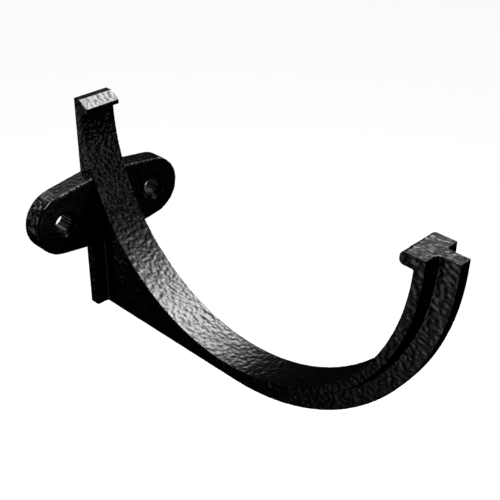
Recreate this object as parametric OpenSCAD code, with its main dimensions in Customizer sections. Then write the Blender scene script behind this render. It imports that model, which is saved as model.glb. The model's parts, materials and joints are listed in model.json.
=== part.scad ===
// Gutter bracket for a half-round gutter: one casting that is screwed to a fascia board.
//
// Frame: X runs out from the fascia, Y along the gutter, Z up. The origin lies on the fascia
// plane, midway between the two fixing screws. All sizes are in millimetres.

/* [Seat] */
// Radius of the half-round seat that the gutter lies in
seat_r = 57.5; // [50:0.5:75]
// Width of the strap along the gutter
strap_w = 11.6; // [9:0.1:16]
// Thickness of the strap that lines the seat
strap_t = 2.7; // [2:0.1:4]
// Height of the bracket's top, at the back and at the front tip, above the seat's centre line
rim_rise = 2.8; // [0.5:0.1:6]

/* [Stem] */
// Thickness of the stem above the ears, out from the fascia
stem_t = 2.8; // [2.4:0.1:4]
// Thickness of the stem's foot below the ears, out from the fascia
foot_t = 3.4; // [2.8:0.1:6]
// Height of the bracket's top above the line through the fixing screws
rim_above_screws = 34.7; // [32:0.1:42]

/* [Rib] */
// Thickness of the central rib and gusset
rib_w = 3.6; // [2.5:0.1:5.5]
// Depth of the rib, out from the back of the strap
rib_depth = 5.9; // [3:0.1:10]
// Radius of the fillets along the rib's root
rib_fillet = 1; // [1:0.1:1.6]
// How far the stem's foot reaches below the lowest point of the rib
foot_drop = 1.2; // [0:0.1:4]

/* [Rear hook] */
// Depth of the flat top, from the fascia plane to the start of the ramp
hook_flat = 2.4; // [1.5:0.1:4]
// How far the hook's lip stands out from the front of the stem
hook_reach = 2.8; // [2:0.1:4.5]
// Fall of the ramp that the gutter's back edge slides down as it snaps in
ramp_fall = 2; // [1:0.1:4]
// Height of the lip's upright front
lip_h = 1.3; // [0.6:0.1:3]
// Rise of the lip's underside, from the stem out to its front edge
lip_undercut = 1.3; // [0:0.1:2.5]

/* [Front nose] */
// How far the nose stands in over the gutter from the strap
nose_reach = 3.8; // [2:0.1:5]
// Height of the nose
nose_h = 3.2; // [2.8:0.1:5]
// Radius of the nose's rounded edges
nose_round = 1.2; // [0.4:0.1:1.4]

/* [Fixing ears] */
// Distance between the centres of the two screw holes
screw_spacing = 33.6; // [31:0.1:50]
// Diameter of the screw holes
screw_hole_d = 6; // [4:0.1:8]
// Depth of the countersink in front of each screw hole
sink_depth = 1.1; // [0.4:0.1:1.4]
// Radius of each ear's round end
ear_end_r = 9.7; // [8:0.1:11]
// Height of the ears where they leave the stem
ear_root_h = 22.8; // [22.4:0.1:28]
// Thickness of the ears, out from the fascia
ear_t = 6.3; // [5:0.1:7]
// Radius of the rounding along the ears' front edges
ear_edge_r = 0.8; // [0.3:0.1:1.5]

/* [Hidden] */
cast_black = [0.05, 0.05, 0.052];
arc_steps = 180;
small_steps = 64;
edge_overrun = 0.3;

strap_r = seat_r + strap_t;
rib_r = strap_r + rib_depth;
rim_z = rim_above_screws;
seat_centre = [stem_t + seat_r, rim_z - rim_rise];
foot_z = seat_centre[1] - rib_r - foot_drop;
hook_root_z = rim_z - ramp_fall - lip_h - lip_undercut;
ear_span = screw_spacing + 2 * ear_end_r;

// Point where a straight line from p touches a circle that lies to the left of the line
function touch_point(p, centre, r) =
    let (away = p - centre,
         angle = atan2(away[1], away[0]) + acos(r / norm(away)))
    centre + r * [cos(angle), sin(angle)];

// Corner where an ear leaves the stem, middle of its round end, and where its side meets the end
ear_root = [strap_w / 2, ear_root_h / 2];
ear_end = [screw_spacing / 2, 0];
ear_touch = let (below = touch_point([ear_root[0], -ear_root[1]], ear_end, ear_end_r))
    [below[0], -below[1]];

// Stands an outline drawn in X and Z upright and gives it a width along the gutter
module along_gutter(width) {
    rotate([90, 0, 0]) linear_extrude(width, center = true) children();
}

// Lays an outline drawn in Y and Z against the fascia plane, starting at a distance from it
module off_fascia(start, thickness) {
    translate([start, 0, 0]) rotate([90, 0, 90]) linear_extrude(thickness) children();
}

// Sweeps a section round the lower half of the seat, its X measured from the seat's centre
module round_seat() {
    translate([seat_centre[0], 0, seat_centre[1]]) rotate([90, 180, 0])
        rotate_extrude(angle = 180, $fn = arc_steps) children();
}

// Triangular fillet with a hollow curved face, in the corner of a wall along X and one along Y
module corner_fillet(r) {
    difference() {
        square(r);
        translate([r, r]) circle(r, $fn = small_steps);
    }
}

module seat_circle() {
    translate(seat_centre) circle(seat_r, $fn = arc_steps);
}

// T-shaped section of the arm: the strap on the inside, the rib outside, and its root fillets
module arm_section() {
    translate([seat_r, -strap_w / 2]) square([strap_t, strap_w]);
    translate([seat_r, -rib_w / 2]) square([strap_t + rib_depth, rib_w]);
    for (side = [0, 1])
        mirror([0, side]) translate([strap_r, rib_w / 2]) corner_fillet(rib_fillet);
}

// Arm round the seat, cut off flush where it would pass behind the fascia plane
module arm() {
    difference() {
        round_seat() arm_section();
        translate([-rib_r, -strap_w, foot_z]) cube([rib_r, 2 * strap_w, rim_z - foot_z]);
    }
}

// Straight piece of the arm at its tip, from the seat's centre line up to the bracket's top
module arm_tip() {
    translate([seat_centre[0], 0, seat_centre[1]]) linear_extrude(rim_rise) arm_section();
}

// Upright stem, with a thicker foot below the screws
module stem_profile() {
    translate([0, foot_z]) square([stem_t, hook_root_z - foot_z]);
    translate([0, foot_z]) square([foot_t, -foot_z]);
}

// Snap hook over the gutter's back edge: flat top, ramp, upright lip and undercut
module hook_profile() {
    lip_x = stem_t + hook_reach;
    lip_top = rim_z - ramp_fall;
    polygon([[0, rim_z], [hook_flat, rim_z], [lip_x, lip_top], [lip_x, lip_top - lip_h],
             [stem_t, hook_root_z], [0, hook_root_z]]);
}

// Rounded nose that holds the gutter's front bead down
module nose_profile() {
    root_x = seat_centre[0] + seat_r;
    round_x = root_x - nose_reach + nose_round;
    translate([round_x, rim_z - nose_h])
        square([root_x + strap_t / 2 - round_x, nose_h]);
    translate([root_x - nose_reach, rim_z - nose_h + nose_round])
        square([nose_reach, nose_h - 2 * nose_round]);
    for (round_z = [rim_z - nose_h + nose_round, rim_z - nose_round])
        translate([round_x, round_z]) circle(nose_round, $fn = small_steps);
}

// Web between the stem and the arm; its lower edge runs from the heel to touch the rib
module gusset_profile() {
    heel = [foot_t, foot_z];
    difference() {
        polygon([[foot_t / 2, foot_z], heel, touch_point(heel, seat_centre, rib_r),
                 seat_centre, [foot_t / 2, seat_centre[1]]]);
        seat_circle();
    }
}

module gusset() {
    along_gutter(rib_w) gusset_profile();
    for (side = [0, 1])
        mirror([0, side, 0]) translate([foot_t, rib_w / 2, foot_z])
            linear_extrude(-foot_z) corner_fillet(rib_fillet);
}

// Outline of the two ears in Y and Z
module ear_outline() {
    for (side = [-1, 1])
        translate(side * ear_end) circle(ear_end_r, $fn = small_steps);
    polygon([[ear_root[0], ear_root[1]], [-ear_root[0], ear_root[1]],
             [-ear_touch[0], ear_touch[1]], [-ear_touch[0], -ear_touch[1]],
             [-ear_root[0], -ear_root[1]], [ear_root[0], -ear_root[1]],
             [ear_touch[0], -ear_touch[1]], [ear_touch[0], ear_touch[1]]]);
}

// What a rounding takes off a corner whose two faces end at X = 0 and Y = 0
module rounded_off(r) {
    difference() {
        translate([-r, -r]) square(2 * r);
        translate([-r, -r]) circle(r, $fn = small_steps);
    }
}

// What the rounding takes off a straight front edge; seen from the front, the ear is on its right.
// It runs on a little past both ends, where the edges beside it are cut deeper.
module straight_edge_cut(from, to) {
    along = to - from;
    translate(from) rotate([90, 0, atan2(along[1], along[0]) + 90])
        translate([0, 0, -edge_overrun]) linear_extrude(norm(along) + 2 * edge_overrun)
            translate([0, ear_t]) rounded_off(ear_edge_r);
}

// What the roundings take off the front edge of one ear's end and of its two straight sides
module ear_edge_cuts() {
    half_turn = atan2(ear_touch[1], ear_touch[0] - ear_end[0]);
    translate(ear_end) rotate(-half_turn)
        rotate_extrude(angle = 2 * half_turn, $fn = small_steps)
            translate([ear_end_r, ear_t]) rounded_off(ear_edge_r);
    for (side = [0, 1])
        mirror([0, side, 0]) straight_edge_cut(ear_root, ear_touch);
}

module ears() {
    difference() {
        off_fascia(0, ear_t) ear_outline();
        along_gutter(2 * ear_span) seat_circle();
        rotate([90, 0, 90]) {
            straight_edge_cut([ear_root[0], -ear_root[1]], -ear_root);
            for (side = [0, 1])
                mirror([side, 0, 0]) ear_edge_cuts();
        }
    }
}

// Screw holes with a countersink in front
module screw_holes() {
    for (side = [-1, 1])
        translate([0, side * screw_spacing / 2, 0]) rotate([0, 90, 0]) {
            translate([0, 0, -ear_t]) cylinder(h = 3 * ear_t, d = screw_hole_d, $fn = small_steps);
            translate([0, 0, ear_t - sink_depth])
                cylinder(h = 2 * sink_depth, d1 = screw_hole_d, d2 = screw_hole_d + 4 * sink_depth,
                         $fn = small_steps);
        }
}

module gutter_bracket() {
    color(cast_black) difference() {
        union() {
            along_gutter(strap_w) {
                stem_profile();
                hook_profile();
                nose_profile();
            }
            arm();
            arm_tip();
            gusset();
            ears();
        }
        screw_holes();
    }
}

gutter_bracket();
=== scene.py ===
import json
import math

import bmesh
import bpy
import numpy as np
from mathutils import Matrix, Vector, noise
from mathutils.bvhtree import BVHTree
from mathutils.kdtree import KDTree


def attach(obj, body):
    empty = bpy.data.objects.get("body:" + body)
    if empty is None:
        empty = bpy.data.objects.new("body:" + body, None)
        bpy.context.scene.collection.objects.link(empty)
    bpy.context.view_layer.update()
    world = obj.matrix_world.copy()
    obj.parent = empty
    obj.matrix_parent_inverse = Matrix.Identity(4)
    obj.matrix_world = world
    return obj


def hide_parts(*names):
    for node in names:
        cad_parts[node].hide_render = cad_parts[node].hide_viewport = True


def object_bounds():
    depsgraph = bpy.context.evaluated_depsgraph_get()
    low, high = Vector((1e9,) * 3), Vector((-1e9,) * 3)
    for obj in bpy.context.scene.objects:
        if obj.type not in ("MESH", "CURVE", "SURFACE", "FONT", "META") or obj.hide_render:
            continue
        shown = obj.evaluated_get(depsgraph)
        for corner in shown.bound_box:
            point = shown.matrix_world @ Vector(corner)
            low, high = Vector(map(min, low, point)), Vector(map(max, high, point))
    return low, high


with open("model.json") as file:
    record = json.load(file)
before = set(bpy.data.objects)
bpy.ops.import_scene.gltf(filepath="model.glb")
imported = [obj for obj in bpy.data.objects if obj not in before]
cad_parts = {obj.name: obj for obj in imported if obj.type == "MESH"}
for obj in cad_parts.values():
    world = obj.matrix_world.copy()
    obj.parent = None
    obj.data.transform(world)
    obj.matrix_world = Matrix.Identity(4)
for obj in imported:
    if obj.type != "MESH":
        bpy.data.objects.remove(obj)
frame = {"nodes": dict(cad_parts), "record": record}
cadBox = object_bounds()
scene = bpy.context.scene
mm = 0.001                # the scene is in metres, and lengths marked mm are in millimetres


# camera

cameraSettings = {
    "place": (204.1, -145.5, 135.3),   # mm, from the middle of the screw line
    "yaw": 44.71,                      # degrees round Z, 0 looks along +Y
    "pitch": 31.76,                    # degrees down
    "roll": 0.62,
    "lens": 65.83,                     # mm
    "sensor": 36,                      # mm
    "shift": (0.0268, -0.0033),
    "clip": (0.01, 10),                # m, nearest and farthest that is seen
}


def makeCamera(s):
    yaw, pitch, roll = (math.radians(s[k]) for k in ("yaw", "pitch", "roll"))
    forward = Vector((-math.sin(yaw) * math.cos(pitch), math.cos(yaw) * math.cos(pitch),
                      -math.sin(pitch)))
    right = Vector((math.cos(yaw), math.sin(yaw), 0))
    up = right.cross(forward)
    localX = right * math.cos(roll) + up * math.sin(roll)
    localY = up * math.cos(roll) - right * math.sin(roll)
    data = bpy.data.cameras.new("viewCamera")
    data.lens = s["lens"]
    data.sensor_width = s["sensor"]
    data.shift_x, data.shift_y = s["shift"]
    data.clip_start, data.clip_end = s["clip"]
    camera = bpy.data.objects.new("viewCamera", data)
    turn = Matrix((localX, localY, -forward)).transposed().to_4x4()
    camera.matrix_world = Matrix.Translation(Vector(s["place"]) * mm) @ turn
    scene.collection.objects.link(camera)
    scene.camera = camera


makeCamera(cameraSettings)
scene.view_settings.view_transform = "Standard"
print("camera set")


# casting

castingSettings = {
    "weld": 0.002,            # mm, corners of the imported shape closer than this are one
    "cell": 0.37,             # mm, one face of the fine skin
    "edgePoints": 8,          # points along a sharp edge for each face of the skin
    "sharpAngle": 30,         # degrees between two faces that meet in an edge
    "creaseAngle": 38,        # degrees, the shading breaks at edges sharper than this
    "swell": 3.4,             # mm, size of the slow waves
    "swellHeight": 0.03,      # mm
    "ripple": (0.76, 0.88),   # mm, size of the ripples at the fascia and at the tip
    "rippleHeight": 0.1,      # mm
    "steepness": 1.3,         # flattens the crests and hollows, and steepens what is between
    "stretch": 1.3,           # ripples are this much longer along the grain
    "grainTilt": 22,          # degrees the grain drops from +X
    "warp": 0.3,              # how far the ripples wander, as a share of their size
    "warpSize": 2,            # how many ripples long that wandering is
    "edgeRipple": 0.35,       # share of the ripple left along the sharp edges
    "edgeBlend": 0.9,         # mm, from an edge to where the full ripple starts
    "boreBlend": 0.7,         # mm, from a screw hole's wall to where the full ripple starts
    "boreCoat": 0.12,         # mm, coating that narrows the screw holes
    "margin": 0.01,           # mm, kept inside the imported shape's outer box
    "seed": 7,
    "seedStep": 3.1,          # mm along the pattern from one seed to the next
}


def millimetreCopy(node, weld):
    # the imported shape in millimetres, with its faces joined up
    mesh = frame["nodes"][node].data.copy()
    mesh.transform(Matrix.Scale(1 / mm, 4))
    bm = bmesh.new()
    bm.from_mesh(mesh)
    bmesh.ops.remove_doubles(bm, verts=bm.verts, dist=weld)
    bm.to_mesh(mesh)
    bm.free()
    return mesh


def evenSkin(mesh, cell):
    # covers a mesh with small faces of one size
    thing = bpy.data.objects.new("evenSkin", mesh)
    scene.collection.objects.link(thing)
    remesh = thing.modifiers.new("remesh", "REMESH")
    remesh.mode = "VOXEL"
    remesh.voxel_size = cell
    graph = bpy.context.evaluated_depsgraph_get()
    skin = bpy.data.meshes.new_from_object(thing.evaluated_get(graph))
    bpy.data.objects.remove(thing)
    return skin


def edgesAndCorners(mesh, limit, step):
    # points along every edge sharper than a limit, and the corners where such edges meet or turn
    bm = bmesh.new()
    bm.from_mesh(mesh)
    points, ways = [], {}
    for e in bm.edges:
        if len(e.link_faces) == 2 and e.calc_face_angle() > limit:
            a, b = (v.co.copy() for v in e.verts)
            count = max(1, round((b - a).length / step))
            points += [a.lerp(b, i / count) for i in range(count + 1)]
            ways.setdefault(e.verts[0], []).append(b - a)
            ways.setdefault(e.verts[1], []).append(a - b)
    corners = [v.co.copy() for v, w in ways.items()
               if len(w) > 2 or len(w) == 2 and w[0].angle(-w[1]) > limit]
    bm.free()
    return points, corners


def pointTree(points):
    # finds the nearest of many points
    tree = KDTree(len(points))
    for i, p in enumerate(points):
        tree.insert(p, i)
    tree.balance()
    return tree


def drawnToEdges(skin, source, s):
    # lays the skin on the source, with a row of its points along each sharp edge, and gives
    # the distance of each point from the nearest such edge
    faces = BVHTree.FromPolygons([v.co for v in source.vertices],
                                 [p.vertices for p in source.polygons])
    limit = math.radians(s["sharpAngle"])
    points, corners = edgesAndCorners(source, limit, s["cell"] / s["edgePoints"])
    sharp = pointTree(points)
    found = [faces.find_nearest(v.co) for v in skin.vertices]
    places = [f[0] for f in found]
    onEdge = set()
    for e in skin.edges:
        a, b = e.vertices
        if found[a][1].angle(found[b][1]) > limit:
            nearest = min((sharp.find(places[i])[2], i) for i in (a, b))
            if nearest[0] < s["cell"]:
                onEdge.add(nearest[1])
    for i in onEdge:
        places[i] = sharp.find(places[i])[0]
    skinTree = pointTree(places)
    for corner in corners:
        places[skinTree.find(corner)[1]] = corner
    gaps = [sharp.find(p)[2] for p in places]
    return np.array(places), np.array(gaps)


def boreGap(p):
    # distance from a point to the wall of the nearest screw hole
    screws = next(m for m in frame["record"]["mounts"] if m["name"] == "fascia_screws")
    across = abs(p.y) - screws["dims"]["spacing_x_mm"] / 2
    return math.hypot(across, p.z) - screws["dims"]["hole_r_mm"]


def surfaceHeight(p, s, reach):
    # how far the cast surface lies above or below its middle, in mm
    tilt = math.radians(s["grainTilt"])
    along = p.x * math.cos(tilt) - p.z * math.sin(tilt)
    across = p.x * math.sin(tilt) + p.z * math.cos(tilt)
    q = Vector((along / s["stretch"], p.y, across))
    q += Vector((s["seed"] * s["seedStep"], 0, 0))
    near, far = s["ripple"]
    t = min(1, max(0, p.x / reach))
    q += noise.noise_vector(q / (s["warpSize"] * far)) * (s["warp"] * far)
    ripple = noise.noise(q / near) * math.sqrt(1 - t) + noise.noise(q / far) * math.sqrt(t)
    flattened = math.tanh(s["steepness"] * ripple)
    return s["rippleHeight"] * flattened + s["swellHeight"] * noise.noise(q / s["swell"])


def fittedToBox(places, low, high, margin):
    # brings the outermost crests back inside a box
    least, most = places.min(axis=0), places.max(axis=0)
    low, high = np.array(low) + margin, np.array(high) - margin
    return low + (places - least) * (high - low) / (most - least)


def makeCasting(node, s):
    source = millimetreCopy(node, s["weld"])
    skin = evenSkin(source.copy(), s["cell"])
    places, gaps = drawnToEdges(skin, source, s)
    skin.vertices.foreach_set("co", places.ravel())
    skin.update()
    low, high = (np.array(c) / mm for c in cadBox)
    noise.seed_set(s["seed"])     # noise_vector follows the clock without it
    heights = np.array([surfaceHeight(v.co, s, high[0]) for v in skin.vertices])
    bore = np.clip([boreGap(v.co) / s["boreBlend"] for v in skin.vertices], 0, 1)
    edge = np.clip(gaps / s["edgeBlend"], 0, 1)
    heights *= bore * (s["edgeRipple"] + (1 - s["edgeRipple"]) * edge)
    heights += s["boreCoat"] * (1 - bore)
    normals = np.array([v.normal for v in skin.vertices])
    places = fittedToBox(places + normals * heights[:, None], low, high, s["margin"])
    skin.vertices.foreach_set("co", (places * mm).ravel())
    skin.update()
    skin.shade_smooth()
    skin.set_sharp_from_angle(angle=math.radians(s["creaseAngle"]))
    casting = bpy.data.objects.new("castingSkin", skin)
    scene.collection.objects.link(casting)
    print("casting skin has", 2 * len(skin.polygons), "triangles")
    return casting


casting = makeCasting("gutter_bracket", castingSettings)
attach(casting, "root")
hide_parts("gutter_bracket")


# coating

coatingSettings = {
    "colour": (0.0012, 0.0012, 0.0013, 1),
    "roughness": (0.16, 0.24),     # in the hollows and on the crests
    "ior": 1.9,
    "ripple": 0.6,                 # mm, size of the fine ripple at the fascia
    "rippleGrowth": 1.5,           # how much larger it is at the tip
    "rippleHeight": 0.02,          # mm
    "rippleDetail": 1,
    "rippleRoughness": 0.4,
    "rippleTwist": 0.6,
    "glossRange": (0.3, 0.7),      # heights of the ripple between which the roughness changes
}


def makeRippleGroup(s):
    # a fine ripple, longer along the grain: its height from 0 to 1
    group = bpy.data.node_groups.new("fineRipple", "ShaderNodeTree")
    for name in ("Vector", "Size mm", "Stretch", "Tilt"):
        kind = "NodeSocketVector" if name == "Vector" else "NodeSocketFloat"
        group.interface.new_socket(name, in_out="INPUT", socket_type=kind)
    group.interface.new_socket("Height", in_out="OUTPUT", socket_type="NodeSocketFloat")
    nodes, links = group.nodes, group.links
    given = nodes.new("NodeGroupInput")
    out = nodes.new("NodeGroupOutput")
    turn = nodes.new("ShaderNodeVectorRotate")
    turn.rotation_type = "Y_AXIS"
    links.new(given.outputs["Vector"], turn.inputs["Vector"])
    links.new(given.outputs["Tilt"], turn.inputs["Angle"])
    shrink = nodes.new("ShaderNodeMath")
    shrink.operation = "DIVIDE"
    shrink.inputs[0].default_value = 1
    links.new(given.outputs["Stretch"], shrink.inputs[1])
    ratio = nodes.new("ShaderNodeCombineXYZ")
    ratio.inputs["Y"].default_value = 1
    ratio.inputs["Z"].default_value = 1
    links.new(shrink.outputs[0], ratio.inputs["X"])
    squeeze = nodes.new("ShaderNodeVectorMath")
    squeeze.operation = "MULTIPLY"
    links.new(turn.outputs[0], squeeze.inputs[0])
    links.new(ratio.outputs[0], squeeze.inputs[1])
    scale = nodes.new("ShaderNodeMath")
    scale.operation = "DIVIDE"
    scale.inputs[0].default_value = 1 / mm
    links.new(given.outputs["Size mm"], scale.inputs[1])
    cells = nodes.new("ShaderNodeTexNoise")
    cells.inputs["Detail"].default_value = s["rippleDetail"]
    cells.inputs["Roughness"].default_value = s["rippleRoughness"]
    cells.inputs["Distortion"].default_value = s["rippleTwist"]
    links.new(squeeze.outputs[0], cells.inputs["Vector"])
    links.new(scale.outputs[0], cells.inputs["Scale"])
    links.new(cells.outputs["Fac"], out.inputs["Height"])
    return group


rippleGroup = makeRippleGroup(coatingSettings)


def placeRipple(nodes, links, vector, size, s):
    # a ripple of a given size in mm, along the same grain as the casting's
    ripple = nodes.new("ShaderNodeGroup")
    ripple.node_tree = rippleGroup
    ripple.inputs["Size mm"].default_value = size
    ripple.inputs["Stretch"].default_value = s["stretch"]
    ripple.inputs["Tilt"].default_value = math.radians(s["grainTilt"])
    links.new(vector, ripple.inputs["Vector"])
    return ripple.outputs["Height"]


def makeCoating(s, grain, reach):
    # black and glossy, with a ripple that grows towards the tip
    mat = bpy.data.materials.new("castBlack")
    mat.use_nodes = True
    nodes, links = mat.node_tree.nodes, mat.node_tree.links
    shader = nodes["Principled BSDF"]
    shader.inputs["Base Color"].default_value = s["colour"]
    shader.inputs["IOR"].default_value = s["ior"]
    coords = nodes.new("ShaderNodeTexCoord")
    small = placeRipple(nodes, links, coords.outputs["Object"], s["ripple"], grain)
    large = placeRipple(nodes, links, coords.outputs["Object"],
                        s["ripple"] * s["rippleGrowth"], grain)
    split = nodes.new("ShaderNodeSeparateXYZ")
    links.new(coords.outputs["Object"], split.inputs[0])
    share = nodes.new("ShaderNodeMapRange")
    share.inputs["From Max"].default_value = reach
    links.new(split.outputs["X"], share.inputs["Value"])
    height = nodes.new("ShaderNodeMix")
    links.new(share.outputs[0], height.inputs["Factor"])
    links.new(small, height.inputs["A"])
    links.new(large, height.inputs["B"])
    bump = nodes.new("ShaderNodeBump")
    bump.inputs["Distance"].default_value = s["rippleHeight"] * mm
    links.new(height.outputs["Result"], bump.inputs["Height"])
    links.new(bump.outputs[0], shader.inputs["Normal"])
    gloss = nodes.new("ShaderNodeMapRange")
    ends = s["glossRange"] + s["roughness"]
    for name, value in zip(("From Min", "From Max", "To Min", "To Max"), ends):
        gloss.inputs[name].default_value = value
    links.new(height.outputs["Result"], gloss.inputs["Value"])
    links.new(gloss.outputs[0], shader.inputs["Roughness"])
    return mat


casting.data.materials.clear()
casting.data.materials.append(makeCoating(coatingSettings, castingSettings, cadBox[1][0]))
print("coating made")


# light and floor

arcSettings = {
    # a row of strip lamps over the seat, in an arc that fades out at both ends
    "lamps": 12,
    "angles": (52, 140),          # degrees round the gutter's length, from the front
    "middle": 96,                 # degrees, where it is brightest
    "fade": 52,                   # degrees from there to where the light is gone
    "aside": 0.46,                # how far the arc leans along the gutter
    "strip": 0.15,                # m, width of a strip
    # each strip is laid in layers, so that it fades out sideways too: length in m, brightness
    "layers": ((0.12, 8.0), (0.3, 3.4), (0.5, 1.3)),
}
lampSettings = {
    # name: azimuth and height in degrees seen from the casting, side m, brightness
    # above and behind
    "topBox": (-117, 61, 0.32, 5),
    "rearTop": (-162, 53, 0.22, 3.2),
    "rearHigh": (173, 36, 0.22, 1.2),
    "rearCard": (160, 38, 0.12, 0.36),
    "rearBox": (-159, 21, 0.22, 2.2),
    "rearSpot": (-145, 0, 0.2, 0.6),
    # low on the near side, mirrored by the gusset, the rib and the side of the strap
    "gussetSpot": (-142, -22.5, 0.12, 0.5),
    "underSide": (-109, -22, 0.22, 0.6),
    "underCard": (-101, -33, 0.22, 0.5),
    "underSpot": (-117, -40, 0.12, 0.13),
    # on the far side
    "tipBox": (116, 20, 0.22, 3),
    "tipCard": (120, 38, 0.22, 0.3),
    # in front, mirrored by the upper strap and the fronts of the ears
    "frontTop": (35, 36.5, 0.11, 0.87),
    "frontHigh": (31, 19, 0.11, 0.85),
    "frontCard": (27.5, 5, 0.11, 0.7),
    "frontLow": (27.5, -5, 0.11, 0.6),
    "earSpot": (33, -30, 0.12, 0.06),
    # soft and low, for whoever looks from the far side or from the front
    "farSide": (97, -14, 0.5, 0.55),
    "frontSide": (2, -14, 0.3, 0.3),
}
roomSettings = {
    "middle": (0.05, 0, 0),       # m, what the lamps look at, all from 1 m away
    "floorDrop": 0.8,             # m, from the casting's lowest point down to the floor
    "floorSize": 8,               # m
    "floorColour": (0.8, 0.8, 0.8, 1),
    "floorGlow": 0.95,            # brings the lit floor up to white, and leaves its shadows
    "floorDark": (0.004, 0.004, 0.004, 1),   # what the black coating sees of the floor
}


def seenShare(nodes, links):
    # 1 for what is looked at, straight or through something clear, and 0 in reflections
    path = nodes.new("ShaderNodeLightPath")
    share = nodes.new("ShaderNodeMath")
    share.operation = "MAXIMUM"
    links.new(path.outputs["Is Camera Ray"], share.inputs[0])
    links.new(path.outputs["Is Transmission Ray"], share.inputs[1])
    return share.outputs[0]


def makeWorld():
    # white behind the casting, and black in what the coating mirrors
    world = bpy.data.worlds.new("studio")
    scene.world = world
    world.use_nodes = True
    nodes, links = world.node_tree.nodes, world.node_tree.links
    back = nodes["Background"]
    back.inputs["Color"].default_value = (1, 1, 1, 1)
    links.new(seenShare(nodes, links), back.inputs["Strength"])


def makeFloor(s):
    # pale to look at, with the casting's shadow, and dark in what the coating mirrors
    bpy.ops.mesh.primitive_plane_add(size=s["floorSize"])
    floor = bpy.context.object
    floor.name = "floor"
    floor.location.z = cadBox[0][2] - s["floorDrop"]
    mat = bpy.data.materials.new("paleFloor")
    mat.use_nodes = True
    nodes, links = mat.node_tree.nodes, mat.node_tree.links
    nodes.clear()
    out = nodes.new("ShaderNodeOutputMaterial")
    pale = nodes.new("ShaderNodeBsdfDiffuse")
    pale.inputs["Color"].default_value = s["floorColour"]
    glow = nodes.new("ShaderNodeEmission")
    glow.inputs["Strength"].default_value = s["floorGlow"]
    seen = nodes.new("ShaderNodeAddShader")
    dark = nodes.new("ShaderNodeBsdfDiffuse")
    dark.inputs["Color"].default_value = s["floorDark"]
    mix = nodes.new("ShaderNodeMixShader")
    links.new(pale.outputs[0], seen.inputs[0])
    links.new(glow.outputs[0], seen.inputs[1])
    links.new(seenShare(nodes, links), mix.inputs[0])
    links.new(dark.outputs[0], mix.inputs[1])
    links.new(seen.outputs[0], mix.inputs[2])
    links.new(mix.outputs[0], out.inputs["Surface"])
    floor.data.materials.append(mat)


def makeLamp(name, away, across, size, brightness, s):
    # away points from the casting to the lamp, and the lamp's width lies along across
    data = bpy.data.lights.new(name, "AREA")
    data.shape = "RECTANGLE"
    data.size, data.size_y = size
    data.energy = brightness * math.pi * size[0] * size[1]
    lamp = bpy.data.objects.new(name, data)
    turn = Matrix((across, away.cross(across), away)).transposed()
    lamp.matrix_world = Matrix.Translation(Vector(s["middle"]) + away) @ turn.to_4x4()
    lamp.visible_camera = False
    scene.collection.objects.link(lamp)


def makeArc(arc, s):
    # strips side by side on a cone round the gutter's length
    first, last = arc["angles"]
    lean = math.sqrt(1 - arc["aside"] ** 2)
    for i in range(arc["lamps"]):
        angle = first + (last - first) * i / (arc["lamps"] - 1)
        share = math.cos(math.pi / 2 * (angle - arc["middle"]) / arc["fade"]) ** 2
        a = math.radians(angle)
        away = Vector((lean * math.cos(a), arc["aside"], lean * math.sin(a)))
        across = Vector((-math.sin(a), 0, math.cos(a)))
        for length, brightness in arc["layers"]:
            makeLamp("arcLamp", away, across, (arc["strip"], length), brightness * share, s)


def makeSingleLamp(name, azimuth, height, side, brightness, s):
    az, el = math.radians(azimuth), math.radians(height)
    away = Vector((math.cos(az) * math.cos(el), math.sin(az) * math.cos(el), math.sin(el)))
    across = Vector((-math.sin(az), math.cos(az), 0))
    makeLamp(name, away, across, (side, side), brightness, s)


makeWorld()
makeFloor(roomSettings)
makeArc(arcSettings, roomSettings)
for name, values in lampSettings.items():
    makeSingleLamp(name, *values, roomSettings)
print("lights set")
